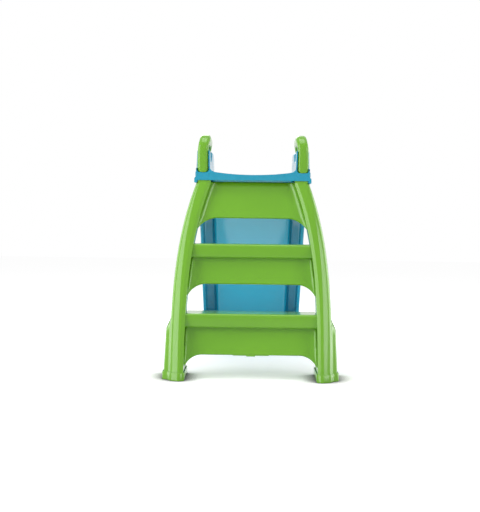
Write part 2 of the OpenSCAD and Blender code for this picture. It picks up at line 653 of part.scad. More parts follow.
module header() color(green) difference() {
    bottom = leg_top_z - header_h;
    ss = stations(bottom);
    union() {
        panel(header_top, [for (s = ss) header_profile(s)], ss);
        end_plates(bottom + 4, header_top - 3) polygon([[rear_y(header_top) + 14, header_top - 3],
            [rear_y(bottom) + 14, bottom + 4], [rear_y(bottom) + 42, bottom + 4],
            [rear_y(header_top) + 42, header_top - 3]]);
        screw_posts(header_screw_places);
    }
    screw_holes(header_screw_places);
}

// Screws from inside the leg's channel into the ends of the steps and the header.
module step_screws(side) color(steel) mirrored(side)
    for (at = screw_places) {
        x_cylinder(screw_r, leg_in(at[1]) - 18, leg_in(at[1]) + pad_h + 1, at);
        translate([leg_in(at[1]) + pad_h + gap, at[0], at[1]]) rotate([0, 90, 0]) difference() {
            cylinder(r1 = 4.5, r2 = 3.4, h = 3);
            translate([-0.6, -3, 2]) cube([1.2, 6, 2]);
            translate([-3, -0.6, 2]) cube([6, 1.2, 2]);
        }
    }

chute();
grip_loop(-1);  // left_grip_loop
grip_loop(1);  // right_grip_loop
loop_screws(-1);  // left_loop_screws
loop_screws(1);  // right_loop_screws
hinge_pin(-1);  // left_hinge_pin
hinge_pin(1);  // right_hinge_pin
leg(-1);  // left_leg
leg(1);  // right_leg
header();
upper_step();
lower_step();
step_screws(-1);  // left_step_screws
step_screws(1);  // right_step_screws
foot_cap(-1);  // left_foot_cap
foot_cap(1);  // right_foot_cap
lock_button(-1);  // left_lock_button
lock_button(1);  // right_lock_button
lock_spring(-1);  // left_lock_spring
lock_spring(1);  // right_lock_spring
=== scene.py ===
import json
import math

import bmesh
import bpy
from mathutils import Matrix, Vector

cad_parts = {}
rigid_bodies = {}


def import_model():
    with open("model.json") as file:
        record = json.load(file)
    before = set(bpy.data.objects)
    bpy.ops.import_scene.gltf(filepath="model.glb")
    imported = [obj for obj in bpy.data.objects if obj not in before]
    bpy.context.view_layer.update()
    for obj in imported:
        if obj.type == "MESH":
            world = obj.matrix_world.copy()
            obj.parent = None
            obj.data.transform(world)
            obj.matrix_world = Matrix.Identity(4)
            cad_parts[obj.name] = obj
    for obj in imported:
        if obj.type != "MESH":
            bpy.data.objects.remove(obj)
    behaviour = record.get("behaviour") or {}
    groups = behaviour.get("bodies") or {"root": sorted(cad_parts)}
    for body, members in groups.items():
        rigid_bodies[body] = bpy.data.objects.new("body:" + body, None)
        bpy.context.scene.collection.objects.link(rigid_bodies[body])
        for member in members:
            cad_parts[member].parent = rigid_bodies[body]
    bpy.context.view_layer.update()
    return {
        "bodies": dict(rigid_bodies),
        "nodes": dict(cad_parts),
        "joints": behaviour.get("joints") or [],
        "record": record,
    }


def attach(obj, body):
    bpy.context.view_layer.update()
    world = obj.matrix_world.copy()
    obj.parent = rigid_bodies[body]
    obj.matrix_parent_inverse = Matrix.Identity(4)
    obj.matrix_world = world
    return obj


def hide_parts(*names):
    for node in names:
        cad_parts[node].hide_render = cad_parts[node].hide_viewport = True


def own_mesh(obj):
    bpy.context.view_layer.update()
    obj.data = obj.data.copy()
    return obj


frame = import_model()
nodes = frame["nodes"]
mm = 0.001

print("slide: helpers")


def mix(a, b, t):
    return a + (b - a) * t


def clamp01(t):
    return min(1.0, max(0.0, t))


def ease(a, b, x):
    t = clamp01((x - a) / (b - a))
    return t * t * (3 - 2 * t)


def steps(a, b, count):
    return [mix(a, b, i / count) for i in range(count + 1)]


def chain(*spans):
    # stations through several spans (start, end, count) without doubled ends
    out = []
    for a, b, count in spans:
        out += [v for v in steps(a, b, count) if not out or abs(v - out[-1]) > 1e-6]
    return out


def arc(cx, cy, radius, start, end, count):
    # points of an arc in degrees, both ends included
    turns = [math.radians(mix(start, end, i / count)) for i in range(count + 1)]
    return [(cx + radius * math.cos(t), cy + radius * math.sin(t)) for t in turns]


def offsetPath(path, d):
    # an open 2D path moved sideways by d, to the left of its direction
    out = []
    for i, (x, y) in enumerate(path):
        ax, ay = path[max(0, i - 1)]
        bx, by = path[min(len(path) - 1, i + 1)]
        n = math.hypot(bx - ax, by - ay)
        out.append((x - (by - ay) / n * d, y + (bx - ax) / n * d))
    return out


class Pile:
    # gathers swept grids, prisms and turned shapes in millimetres into one mesh in metres
    def __init__(self):
        self.verts = []
        self.faces = []

    def grid(self, rows, ring=False, ends=False, flip=False, loop=False):
        wide = len(rows[0])
        start = len(self.verts)
        self.verts += [[c * mm for c in p] for row in rows for p in row]
        for r in range(len(rows) if loop else len(rows) - 1):
            after = (r + 1) % len(rows)
            for i in range(wide if ring else wide - 1):
                j = (i + 1) % wide
                face = [r * wide + i, r * wide + j, after * wide + j, after * wide + i]
                self.faces.append([start + v for v in (reversed(face) if flip else face)])
        if ends:
            first = [start + v for v in range(wide)]
            last = [start + (len(rows) - 1) * wide + v for v in range(wide)]
            self.faces += [first, last[::-1]] if flip else [first[::-1], last]
        return self

    def prism(self, outline, plane, a, b):
        # an outline pushed from a to b along X ("x", points in Y and Z), Y or Z
        def place(p, t):
            return {"x": (t, p[0], p[1]), "y": (p[0], t, p[1]), "z": (p[0], p[1], t)}[plane]
        return self.grid([[place(p, t) for p in outline] for t in (a, b)], ring=True, ends=True)

    def turned(self, profile, at, side=1, count=40, loop=False):
        # a shape turned about an axis along X through at = (y, z); profile has (x, radius), and a
        # profile that closes on itself makes a tube
        turns = [math.tau * i / count for i in range(count)]
        return self.grid([[(side * x, at[0] + r * math.cos(t), at[1] + r * math.sin(t)) for t in turns]
                          for x, r in profile], ring=True, ends=not loop, loop=loop)

    def build(self, name):
        mesh = bpy.data.meshes.new(name)
        mesh.from_pydata(self.verts, [], self.faces)
        mesh.validate()
        mesh.polygons.foreach_set("use_smooth", [True] * len(mesh.polygons))
        obj = bpy.data.objects.new(name, mesh)
        bpy.context.scene.collection.objects.link(obj)
        return obj


def outward(obj):
    # closed shapes get their faces turned outwards
    shape = bmesh.new()
    shape.from_mesh(obj.data)
    bmesh.ops.recalc_face_normals(shape, faces=shape.faces)
    shape.to_mesh(obj.data)
    shape.free()
    return obj


def thicken(obj, thick, offset=0.0):
    mod = obj.modifiers.new("wall", "SOLIDIFY")
    mod.thickness = thick * mm
    mod.offset = offset
    mod.use_even_offset = True
    mod.use_quality_normals = True
    return obj


def soften(obj, width, segments=3, angle=28):
    mod = obj.modifiers.new("softEdges", "BEVEL")
    mod.width = width * mm
    mod.segments = segments
    mod.limit_method = "ANGLE"
    mod.angle_limit = math.radians(angle)
    mod.harden_normals = True
    mod.use_clamp_overlap = True
    mod.miter_outer = "MITER_ARC"
    return obj


def cleanNode(name, width, segments=3, angle=28):
    # a CAD node keeps its shape and gets joined corners and soft moulded edges
    obj = nodes[name]
    weld = obj.modifiers.new("join", "WELD")
    weld.merge_threshold = 0.00002
    obj.data.polygons.foreach_set("use_smooth", [True] * len(obj.data.polygons))
    return soften(obj, width, segments, angle)


def dress(obj, material, body):
    obj.data.materials.clear()
    obj.data.materials.append(material)
    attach(obj, body)
    return obj


print("slide: plastics")


def srgb(r, g, b):
    def one(c):
        c = c / 255
        return c / 12.92 if c <= 0.04045 else ((c + 0.055) / 1.055) ** 2.4
    return (one(r), one(g), one(b), 1)


class Shader:
    # short way to add and join shader nodes
    def __init__(self, name):
        self.material = bpy.data.materials.new(name)
        self.material.use_nodes = True
        self.tree = self.material.node_tree
        self.tree.nodes.clear()
        self.out = self.tree.nodes.new("ShaderNodeOutputMaterial")

    def add(self, kind, **values):
        node = self.tree.nodes.new(kind)
        for key, value in values.items():
            if key in node.inputs:
                node.inputs[key].default_value = value
            else:
                setattr(node, key, value)
        return node

    def join(self, a, b):
        self.tree.links.new(a, b)

    def ramp(self, source, stops):
        node = self.add("ShaderNodeValToRGB")
        marks = node.color_ramp.elements
        while len(marks) < len(stops):
            marks.new(0.5)
        for mark, (place, colour) in zip(marks, stops):
            mark.position = place
            mark.color = colour
        self.join(source, node.inputs["Fac"])
        return node.outputs["Color"]

    def spread(self, source, low, high, a, b):
        node = self.add("ShaderNodeMapRange")
        for key, value in (("From Min", low), ("From Max", high), ("To Min", a), ("To Max", b)):
            node.inputs[key].default_value = value
        self.join(source, node.inputs["Value"])
        return node.outputs["Result"]


def mouldedPlastic(name, look):
    n = Shader(name)
    place = n.add("ShaderNodeTexCoord").outputs["Object"]
    cloud = n.add("ShaderNodeTexNoise", Scale=look["cloudScale"], Detail=3.0, Roughness=0.55)
    n.join(place, cloud.inputs["Vector"])
    tone = n.ramp(cloud.outputs["Fac"], [(0.3, look["shade"]), (0.7, look["colour"])])
    # handling wears the convex edges a little paler and duller
    form = n.add("ShaderNodeNewGeometry")
    edge = n.spread(form.outputs["Pointiness"], 0.52, 0.60, 0.0, 1.0)
    speck = n.add("ShaderNodeTexNoise", Scale=60.0, Detail=4.0, Roughness=0.65)
    n.join(place, speck.inputs["Vector"])
    worn = n.add("ShaderNodeMath", operation="MULTIPLY")
    n.join(edge, worn.inputs[0])
    n.join(n.spread(speck.outputs["Fac"], 0.4, 0.7, 0.0, look["wear"]), worn.inputs[1])
    paint = n.add("ShaderNodeMix", data_type="RGBA")
    n.join(worn.outputs["Value"], paint.inputs["Factor"])
    n.join(tone, paint.inputs[6])
    paint.inputs[7].default_value = look["worn"]
    # long faint scuffs dull the gloss
    stretch = n.add("ShaderNodeMapping", Scale=(9.0, 2.0, 9.0))
    streak = n.add("ShaderNodeTexNoise", Scale=look["scuffScale"], Detail=6.0, Roughness=0.7)
    n.join(place, stretch.inputs["Vector"])
    n.join(stretch.outputs["Vector"], streak.inputs["Vector"])
    dull = n.spread(streak.outputs["Fac"], 0.45, 0.8, look["roughness"], look["roughness"] + look["scuff"])
    rough = n.add("ShaderNodeMath", operation="ADD", use_clamp=True)
    n.join(dull, rough.inputs[0])
    n.join(worn.outputs["Value"], rough.inputs[1])
    # the fine orange peel of a moulded wall over slow waves, and a few hairline scratches
    grain = n.add("ShaderNodeTexNoise", Scale=look["grainScale"], Detail=2.0)
    wave = n.add("ShaderNodeTexNoise", Scale=9.0, Detail=0.0)
    scratchPlace = n.add("ShaderNodeMapping", Rotation=(0.3, 0.5, 0.9), Scale=(260.0, 5.0, 40.0))
    scratch = n.add("ShaderNodeTexNoise", Scale=1.0, Detail=1.0)
    n.join(place, grain.inputs["Vector"])
    n.join(place, wave.inputs["Vector"])
    n.join(place, scratchPlace.inputs["Vector"])
    n.join(scratchPlace.outputs["Vector"], scratch.inputs["Vector"])
    normal = None
    heights = ((wave.outputs["Fac"], look["waveStrength"], 0.002),
               (grain.outputs["Fac"], look["grainStrength"], 0.0003),
               (n.spread(scratch.outputs["Fac"], 0.70, 0.76, 0.0, 1.0), look["scratchStrength"], 0.0002))
    for height, strength, distance in heights:
        bump = n.add("ShaderNodeBump", Strength=strength, Distance=distance)
        n.join(height, bump.inputs["Height"])
        if normal:
            n.join(normal, bump.inputs["Normal"])
        normal = bump.outputs["Normal"]
    skin = n.add("ShaderNodeBsdfPrincipled")
    skin.inputs["IOR"].default_value = look["ior"]
    skin.inputs["Coat Weight"].default_value = look["coat"]
    skin.inputs["Coat Roughness"].default_value = look["coatRoughness"]
    skin.inputs["Sheen Weight"].default_value = look["sheen"]
    skin.inputs["Sheen Roughness"].default_value = 0.6
    n.join(paint.outputs[2], skin.inputs["Base Color"])
    n.join(rough.outputs["Value"], skin.inputs["Roughness"])
    n.join(normal, skin.inputs["Normal"])
    n.join(skin.outputs["BSDF"], n.out.inputs["Surface"])
    return n.material


greenLook = {"colour": srgb(112, 176, 26), "shade": srgb(106, 169, 24), "worn": srgb(160, 205, 104),
             "wear": 0.10, "cloudScale": 4.0, "roughness": 0.15, "scuff": 0.05, "scuffScale": 3.0,
             "grainScale": 1100.0, "grainStrength": 0.012, "waveStrength": 0.006, "scratchStrength": 0.02,
             "ior": 1.46, "coat": 0.1, "coatRoughness": 0.06, "sheen": 0.03}
blueLook = {"colour": srgb(12, 153, 184), "shade": srgb(10, 150, 181), "worn": srgb(92, 182, 206),
            "wear": 0.10, "cloudScale": 3.5, "roughness": 0.13, "scuff": 0.05, "scuffScale": 2.6,
            "grainScale": 1000.0, "grainStrength": 0.012, "waveStrength": 0.006, "scratchStrength": 0.02,
            "ior": 1.46, "coat": 0.1, "coatRoughness": 0.06, "sheen": 0.03}
greenPlastic = mouldedPlastic("greenMouldedPlastic", greenLook)
bluePlastic = mouldedPlastic("blueMouldedPlastic", blueLook)


def platedSteel(name, colour, roughness):
    n = Shader(name)
    place = n.add("ShaderNodeTexCoord").outputs["Object"]
    brush = n.add("ShaderNodeMapping", Scale=(30.0, 900.0, 900.0))
    noise = n.add("ShaderNodeTexNoise", Scale=1.0, Detail=3.0)
    n.join(place, brush.inputs["Vector"])
    n.join(brush.outputs["Vector"], noise.inputs["Vector"])
    fac = noise.outputs["Fac"]
    bump = n.add("ShaderNodeBump", Strength=0.15, Distance=0.0002)
    n.join(fac, bump.inputs["Height"])
    metal = n.add("ShaderNodeBsdfPrincipled")
    metal.inputs["Metallic"].default_value = 1.0
    n.join(n.ramp(fac, [(0.2, tuple(c * 0.8 for c in colour[:3]) + (1,)), (0.8, colour)]),
           metal.inputs["Base Color"])
    n.join(n.spread(fac, 0.0, 1.0, roughness - 0.08, roughness + 0.12), metal.inputs["Roughness"])
    n.join(bump.outputs["Normal"], metal.inputs["Normal"])
    n.join(metal.outputs["BSDF"], n.out.inputs["Surface"])
    return n.material


screwSteel = platedSteel("zincScrewSteel", (0.60, 0.61, 0.64, 1), 0.32)
springSteel = platedSteel("brightSpringWire", (0.55, 0.55, 0.57, 1), 0.22)

print("slide: ladder legs")

chute = {
    "deckZ": 569.5, "deckRear": -315.0, "deckLen": 110.0, "slope": 43.0, "crest": 90.0, "runout": 150.0,
    "exitZ": 42.0, "exitY": 490.0, "skin": 3.6, "outerHalf": 161.2, "innerHalf": 120.5, "skirtOut": 4.5,
    "railH": 62.0, "finTop": 644.0, "skirtDrop": 23.0, "skirtBand": 12.0, "seatUp": 6.5, "fasciaDrop": 16.0,
    "dish": 7.5, "railCorner": 7.0, "fillet": 15.0, "finLean": 2.0, "tailLen": 26.5, "finLen": 176.0,
    "dipDepth": 28.0, "dipHalf": 62.0, "dipAt": 71.0, "finFade": 150.0, "narrowing": 6.0,
    "bossR": 12.0, "exitEdge": 6.0,
}
ladder = {
    "topZ": 548.0, "lean": 175.0, "rear": -489.0, "footHalf": 224.3, "topHalf": chute["outerHalf"] - 0.5,
    "bowPower": 3.2, "face": 41.0, "faceGrow": 1.5, "depth": 92.0, "wall": 4.0, "bootReach": 80.0,
    "bootOut": 13.4, "bootTop": 168.0, "cornerFoot": 20.0, "cornerTop": 10.0, "bevel": 10.0,
    "bevelIn": 7.0, "bevelDeep": 4.0, "lip": 4.0, "footLip": 1.5, "turn": 60.0,
    "hinge": (-262.0, 572.5), "capFloor": 4.0, "bootStep": 24.0, "bootEnd": 44.0, "gap": 0.3,
    "earDrop": 34.0,
    "lockOffset": (32.0, 2.0), "ribsAt": (0.165, 0.43, 0.61, 0.77), "ribHalf": 1.5,
}
outerEdge = {"bevelFoot": 16.0, "bevelTop": 4.0, "stripFoot": 9.5, "stripTop": 5.0, "turn": 28.0,
             "deepen": 1.15}
shoulderZ = ladder["bootTop"] - 42


def rearY(z):
    return ladder["rear"] + ladder["lean"] * z / ladder["topZ"]


def legOut(z):
    return mix(ladder["footHalf"], ladder["topHalf"], clamp01(z / ladder["topZ"]) ** ladder["bowPower"])


def legIn(z):
    return legOut(z) - ladder["face"] - ladder["faceGrow"] * clamp01(z / ladder["topZ"]) ** 3


def legCorner(z):
    return mix(ladder["cornerFoot"], ladder["cornerTop"], clamp01(z / ladder["topZ"]))


def legEdge(z, grow=0.0):
    # the outer front edge: a broad bevel, then a steep strip that rolls into the side
    share = clamp01(z / ladder["topZ"])
    bevel = mix(outerEdge["bevelFoot"], outerEdge["bevelTop"], share ** 2.2)
    strip = mix(outerEdge["stripFoot"], outerEdge["stripTop"], share ** 1.5)
    x, deep = legOut(z), legCorner(z) * outerEdge["deepen"]
    sunk = bevel * math.tan(math.radians(outerEdge["turn"]))
    return [(x - bevel - strip, -grow), (x - bevel - strip + 0.8, 0.2 - grow),
            (x - strip - 0.8 + grow * 0.2, sunk - 0.4 - grow * 0.95),
            (x - strip + 0.5 + grow * 0.4, sunk + 0.5 - grow * 0.9),
            (x - 1.4 + grow * 0.9, deep - 2.6 - grow * 0.4), (x - 0.5 + grow, deep), (x + grow, deep + 2.4)]


def legLip(z):
    low, full = ladder["footLip"], ladder["lip"]
    return mix(low, full, ease(20, 80, z)) - (full - low) * ease(ladder["topZ"] - 60, ladder["topZ"] - 20, z)


def bootX(z):
    return ladder["bootOut"] * (1 - ease(shoulderZ, ladder["bootTop"], z)) + 2 * (1 - ease(0, shoulderZ, z))


def legReach(z):
    turn = math.radians(ladder["turn"])
    top = ladder["hinge"][0] - rearY(ladder["topZ"]) \
        - (ladder["hinge"][1] - ladder["topZ"] + 1.2) * math.tan(turn / 2)
    rate = 1 / math.tan(turn) + ladder["lean"] / ladder["topZ"]
    full = ladder["depth"] + ladder["bootReach"] * clamp01(1 - z / (ladder["bootTop"] + 10)) ** 1.3
    return min(full, top + rate * (ladder["topZ"] - z))


def legSection(z):
    # the outer face of a leg, from its open front round the back to the flange outside
    xi, xo, b, reach = legIn(z), legOut(z), bootX(z), legReach(z)
    edge = legEdge(z)
    step, stepEnd = min(reach * 0.55, ladder["bootStep"]), min(reach * 0.72, ladder["bootEnd"])
    lip, wall = legLip(z), ladder["wall"]
    path = [(xi + 1, reach), (xi + 0.7, reach * 0.66), (xi + 0.35, reach * 0.33),
            (xi, ladder["bevelDeep"] + 1), (xi + 0.6, ladder["bevelDeep"]),
            (xi + ladder["bevel"] - 0.8, 0.3), (xi + ladder["bevel"], 0)]
    path += [(mix(xi + ladder["bevel"], edge[0][0], t), 0) for t in (0.33, 0.66)] + edge
    path += [(xo + b * ease(0, 1, t), mix(step, stepEnd, t)) for t in steps(0, 1, 8)[1:]]
    path += [(xo + b, mix(stepEnd, reach - wall, t)) for t in (0.4, 0.8, 1.0)]
    path += [(xo + b + lip, reach - wall)]
    return [(x, rearY(z) + y, z) for x, y in path]


legHeights = chain((ladder["capFloor"] + ladder["gap"], 100, 10), (100, 190, 22), (190, 470, 26),
                   (470, ladder["topZ"], 16))


def stepScrews(tread):
    noseY = rearY(tread) + ladder["bevelIn"]
    return [(noseY + step["screwIn"], tread - step["noseH"] / 2),
            (noseY + step["riserSet"] + step["riserScrewIn"], tread - step["noseH"] - step["riserScrewDrop"])]


step = {"lower": 180.0, "upper": 372.5, "depth": 105.0, "lowerDeeper": 13.0, "noseH": 38.5, "riserSet": 32.0,
        "riserEnd": 23.0, "plateDrop": 88.0, "riserDrop": 113.5, "archR": 54.0, "archIn": 49.0,
        "sideFillet": 28.0, "endGap": -0.3, "screwIn": 18.0, "riserScrewIn": 16.0, "riserScrewDrop": 26.0}
header = {"h": 103.0, "set": 26.0, "end": 11.0, "top": chute["deckZ"] - chute["fasciaDrop"] - 3,
          "screwIn": 12.0, "screwsAt": (0.45, 0.8), "plateFront": 14.0, "plateBack": 42.0}
headerScrews = [(rearY(z) + header["set"] + header["screwIn"], z) for z in
                [ladder["topZ"] - header["h"] * share for share in header["screwsAt"]]]
ladderScrews = stepScrews(step["lower"]) + stepScrews(step["upper"]) + headerScrews

lockAt = tuple(a + b for a, b in zip(ladder["hinge"], ladder["lockOffset"]))
wallMid = (chute["innerHalf"] + 5 + chute["outerHalf"]) / 2
hub = {"earIn": wallMid - 11, "earOut": wallMid + 1, "inner": chute["innerHalf"] + 10,
       "outer": chute["outerHalf"] - 5, "pinHole": 6.1, "guideHole": 4.15, "padH": 7.0,
       "sleeve": 15.0, "guideRim": 12.0, "hingeRound": 14.0, "lockRound": 11.0}
roundSides = 48


def buildLeg(side, word):
    rows = [[(side * x, y, z) for x, y, z in legSection(z)] for z in legHeights]
    shell = Pile().grid(rows, flip=side < 0).build(word + "LegShell")
    thicken(shell, ladder["wall"], -1)
    soften(shell, 1.4, 3, 24)
    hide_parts(word + "_leg")
    # the top closes with a plate, and ribs cross the channel behind it
    inside = Pile()
    topZ = ladder["topZ"]
    cover = [(side * x, y) for x, y, z in legSection(topZ - 2)]
    inside.prism([(x, y + 0.6) for x, y in cover[3:-1]], "z", topZ - 4.4, topZ - 0.3)
    top, plugTop = rearY(topZ), chute["deckZ"] - chute["fasciaDrop"] - 0.5
    xa, xb = side * (legIn(topZ) + 2), side * (legOut(topZ) - 4)
    inside.prism([(xa, top + 1.2), (xb, top + 1.2), (xb, top + 14), (xa, top + 14)], "z", topZ - 1, plugTop)
    for part in ladder["ribsAt"]:
        z = topZ * part
        line = [(side * (x - 1.6 if x > legIn(z) + 12 else x + 1.6), y + (1.6 if y < rearY(z) + 3 else 0))
                for x, y, _ in legSection(z)]
        inside.prism(line[1:-4], "z", z - ladder["ribHalf"], z + ladder["ribHalf"])
    for at in ladderScrews:
        inner = legIn(at[1])
        inside.turned([(inner + 2.3, 6.6), (inner + 4.2, 6.0), (inner + hub["padH"], 6.0)], at, side, 28)
    # the ear carries the hub and the lock's guide inside the chute's hollow wall
    hingeAt = ladder["hinge"]
    low = topZ - ladder["earDrop"]
    between = arc(*hingeAt, hub["hingeRound"], -50, 80, 10) + arc(*lockAt, hub["lockRound"], 96, 264, 14)
    below = arc(*hingeAt, hub["hingeRound"], -50, -165, 10)
    below += [(rearY(topZ) + 3, topZ - 1), (rearY(low) + 3, low), (rearY(low) + 58, low)]
    for web in (between, below):
        inside.prism(web, "x", side * hub["earIn"], side * hub["earOut"])
    pin, sleeve, guide, rim = hub["pinHole"], hub["sleeve"], hub["guideHole"], hub["guideRim"]
    inside.turned([(hub["inner"], pin), (hub["inner"], sleeve - 1), (hub["inner"] + 1, sleeve),
                   (hub["outer"] - 1, sleeve), (hub["outer"], sleeve - 1), (hub["outer"], pin)],
                  hingeAt, side, roundSides, loop=True)
    inside.turned([(hub["earIn"], guide), (hub["earIn"], rim), (hub["earOut"], rim), (hub["earOut"], guide)],
                  lockAt, side, roundSides, loop=True)
    frame = soften(outward(inside.build(word + "LegRibsAndHub")), 0.6, 2, 35)
    frame.modifiers["softEdges"].miter_outer = "MITER_SHARP"
    for piece in (shell, frame):
        dress(piece, greenPlastic, "ladder_body")


for side, word in ((-1, "left"), (1, "right")):
    buildLeg(side, word)

print("slide: foot caps")

cap = {"h": 22.0, "grow": 2.6, "floor": ladder["capFloor"], "corner": 3.6}


def capRing(z, grow, corner):
    xi, xo, reach = legIn(z) - grow, legOut(z), legReach(z) + grow
    wide = xo + bootX(z) + legLip(z) + grow
    bevelIn = ladder["bevelDeep"] + 1 - grow * 0.35
    path = arc(xi + corner, reach - corner, corner, 90, 180, 5) + [(xi, mix(reach, bevelIn, 0.5))]
    crease = xi + ladder["bevel"] + grow * 0.6
    path += [(xi, bevelIn + 2), (xi + 0.9, bevelIn - 0.7), (crease - 1.5, 1.2 - grow), (crease + 1, -grow)]
    path += legEdge(z, grow)
    path += [(mix(xo + grow, wide, ease(0, 1, t)), mix(ladder["bootStep"], ladder["bootEnd"], t))
             for t in steps(0, 1, 6)[1:]]
    path += arc(wide - corner, reach - corner, corner, 0, 90, 5)
    return [(x, rearY(z) + y, z) for x, y in path]


def buildCap(side, word):
    g, c = cap["grow"], cap["corner"]
    levels = [(0, g - 2.2, c), (0.15, g - 1.4, c), (0.7, g - 0.6, c), (1.6, g - 0.1, c), (3, g, c),
              (cap["h"] * 0.5, g, c), (cap["h"] - 1.8, g, c), (cap["h"] - 0.7, g - 0.25, c),
              (cap["h"] - 0.15, g - 0.8, c), (cap["h"], g - 1.4, 2.0), (cap["h"] - 0.3, 0.8, 1.0),
              (cap["h"] - 1, 0.4, 0.6), (cap["floor"], 0.35, 0.6)]
    rows = [[(side * x, y, z) for x, y, z in capRing(*level)] for level in levels]
    cup = outward(Pile().grid(rows, ring=True, ends=True).build(word + "FootCup"))
    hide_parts(word + "_foot_cap")
    dress(cup, greenPlastic, "ladder_body")


for side, word in ((-1, "left"), (1, "right")):
    buildCap(side, word)

print("slide: steps and header")


def across(s, z):
    return s * (legIn(z) - step["endGap"])


def swept(e, deep):
    if e >= step["sideFillet"]:
        return 0
    return deep * (1 - math.sqrt(max(0, 1 - (1 - e / step["sideFillet"]) ** 2)))


def archZ(bottom, s):
    over = min(step["archR"], max(0, step["archIn"] - (1 - abs(s)) * legIn(bottom)))
    return bottom - step["archR"] + math.sqrt(step["archR"] ** 2 - over ** 2)


def stations(z):
    # dense where the panel sweeps out to the legs
    edge = [step["archIn"] * (i / 30) ** 1.35 for i in range(31)]
    half = [1 - e / legIn(z) for e in edge]
    middle = [half[-1] * i / 7 for i in range(7)]
    right = middle + half[::-1]
    return [-s for s in right[:0:-1]] + right


def stepProfile(tread, depth, s):
    y = rearY(tread) + ladder["bevelIn"] + ladder["wall"] / 2
    top, low = tread - ladder["wall"] / 2, tread - step["noseH"] + ladder["wall"] / 2
    back, foot = y + depth - ladder["wall"], archZ(tread - step["riserDrop"], s)
    e = (1 - abs(s)) * legIn(tread - step["riserDrop"])
    out = step["riserSet"] - swept(e, step["riserSet"] - step["riserEnd"])
    path = [(back, top - 16), (back, top - 8)] + arc(back - 4, top - 4, 4, 0, 90, 5)
    path += [(mix(back - 4, y + 6, t), top) for t in (0.25, 0.5, 0.75)]
    path += arc(y + 6, top - 6, 6, 90, 180, 8) + [(y, mix(top - 6, low + 3, t)) for t in (0.35, 0.7)]
    path += arc(y + 3, low + 3, 3, 180, 270, 6)

    def riserY(z):
        return rearY(z) + ladder["bevelIn"] + out
    corner = riserY(low)
    path += [(mix(y + 3, corner - 4, 0.5), low)] + arc(corner - 4, low - 4, 4, 90, 0, 5)
    path += [(riserY(mix(low - 4, foot + 4, t)), mix(low - 4, foot + 4, t)) for t in (0.2, 0.4, 0.6, 0.8, 1)]
    y0 = riserY(foot + 2)
    return path + arc(y0 + 2, foot + 4, 2, 180, 270, 4)[1:] + [(y0 + 7, foot + 2), (y0 + 12, foot + 2)]


def headerProfile(s):
    bottom = ladder["topZ"] - header["h"]
    foot = archZ(bottom, s)
    out = header["set"] - swept((1 - abs(s)) * legIn(bottom), header["set"] - header["end"])
    top = header["top"] - ladder["wall"] / 2

    def faceY(z):
        return rearY(z) + out
    y0 = faceY(top)
    path = [(y0 + 16, top - 6), (y0 + 15, top - 2), (y0 + 12, top)] + arc(y0 + 4, top - 4, 4, 90, 180, 6)
    path += [(faceY(mix(top - 4, foot + 4, t)), mix(top - 4, foot + 4, t)) for t in (0.2, 0.4, 0.6, 0.8, 1)]
    y1 = faceY(foot + 2)
    return path + arc(y1 + 2, foot + 4, 2, 180, 270, 4)[1:] + [(y1 + 7, foot + 2), (y1 + 12, foot + 2)]


def buildPanel(name, node, z, profiles, ss, plate, screws):
    rows = [[(across(s, q), p, q) for p, q in profile] for s, profile in zip(ss, profiles)]
    skinObj = Pile().grid(rows, flip=True).build(name)
    thicken(skinObj, ladder["wall"])
    soften(skinObj, 0.9, 2, 40)
    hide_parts(node)
    # plates close the ends, and posts behind them take the screws
    ends = Pile()
    for side in (-1, 1):
        outer = [(side * (legIn(q) - 1.1), p, q) for p, q in plate]
        inner = [(side * (legIn(q) - 4.7), p, q) for p, q in plate]
        ends.grid([inner, outer], ring=True, ends=True)
        for at in screws:
            inX = legIn(at[1])
            ends.turned([(inX - 26, 5.0), (inX - 25, 5.5), (inX - 2.5, 5.5)], at, side, 24)
    endObj = soften(outward(ends.build(name + "Ends")), 0.5, 2, 40)
    for piece in (skinObj, endObj):
        dress(piece, greenPlastic, "ladder_body")


def buildStep(name, node, tread, depth):
    ss = stations(tread - step["riserDrop"])
    y = rearY(tread) + ladder["bevelIn"]
    low = tread - step["plateDrop"]
    y2 = rearY(low) + ladder["bevelIn"] + step["riserSet"] - ladder["wall"] / 2
    plate = [(y + 3, tread - 3), (y + 3, tread - step["noseH"] + 3), (y + 12, tread - step["noseH"] + 3),
             (y2 - 16, low), (y2 + 20, low), (y + depth - 3, tread - 18), (y + depth - 3, tread - 3)]
    buildPanel(name, node, tread, [stepProfile(tread, depth, s) for s in ss], ss, plate, stepScrews(tread))


buildStep("upperTreadAndRiser", "upper_step", step["upper"], step["depth"])
buildStep("lowerTreadAndRiser", "lower_step", step["lower"], step["depth"] + step["lowerDeeper"])

bottomZ = ladder["topZ"] - header["h"]
headerStations = stations(bottomZ)
headerPlate = [(rearY(header["top"]) + header["plateFront"], header["top"] - 3),
               (rearY(bottomZ) + header["plateFront"], bottomZ + 4),
               (rearY(bottomZ) + header["plateBack"], bottomZ + 4),
               (rearY(header["top"]) + header["plateBack"], header["top"] - 3)]
buildPanel("headerPanel", "header", header["top"], [headerProfile(s) for s in headerStations],
           headerStations, headerPlate, headerScrews)

# the finger tab under the lower riser and the rib it stands on: half width, reach below and above
# the riser's edge, front and back
fingerTab = {"lug": (12.5, 3.6, 2.4, -0.5, 11.5), "rib": (50, 1.4, 1.6, 0.5, 9.5)}
tabBottom = step["lower"] - step["riserDrop"]
tabY = rearY(tabBottom) + ladder["bevelIn"] + step["riserSet"]
tab = Pile()
for wide, under, over, fore, back in fingerTab.values():
    low, high = tabBottom - under, tabBottom + over
    tab.prism([(-wide, low), (wide, low), (wide, high), (-wide, high)], "y", tabY + fore, tabY + back)
tabPiece = soften(outward(tab.build("riserFingerTab")), 1.0, 3, 40)
dress(tabPiece, greenPlastic, "ladder_body")

print("slide: chute")

